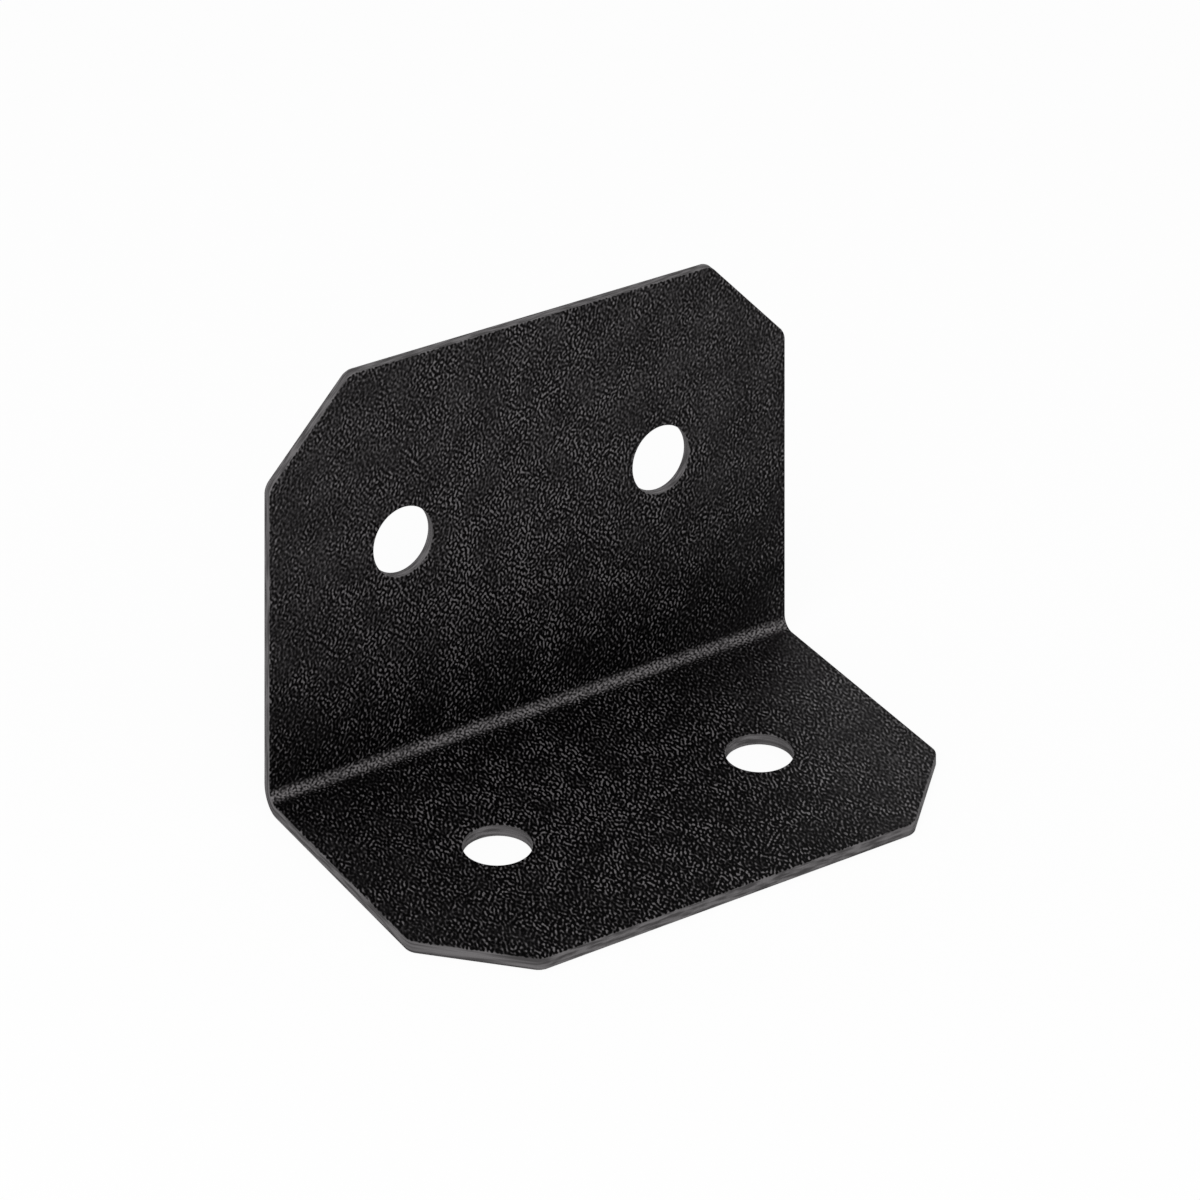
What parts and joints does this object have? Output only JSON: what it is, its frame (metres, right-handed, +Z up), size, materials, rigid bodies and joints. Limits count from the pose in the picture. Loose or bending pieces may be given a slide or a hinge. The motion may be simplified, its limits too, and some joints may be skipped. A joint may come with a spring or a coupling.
{
  "type": "angle bracket",
  "caption": "Black powder-coated steel sheet angle bracket with clipped corners and bolt holes in both legs, for fixing timbers at a right angle.",
  "frame": {"origin": "middle of the footprint, on the underside of the base", "axes": "+X along the fold, +Y out of the back face of the upright, +Z up along the upright"},
  "size_m": [0.127, 0.0786, 0.085],
  "materials": {
    "powder_coat": "black powder coat with a fine grain on the faces, smoother and greyer on the cut edges"
  },
  "bodies": {
    "root": {"angle_bracket": "powder_coat"}
  },
  "joints": []
}
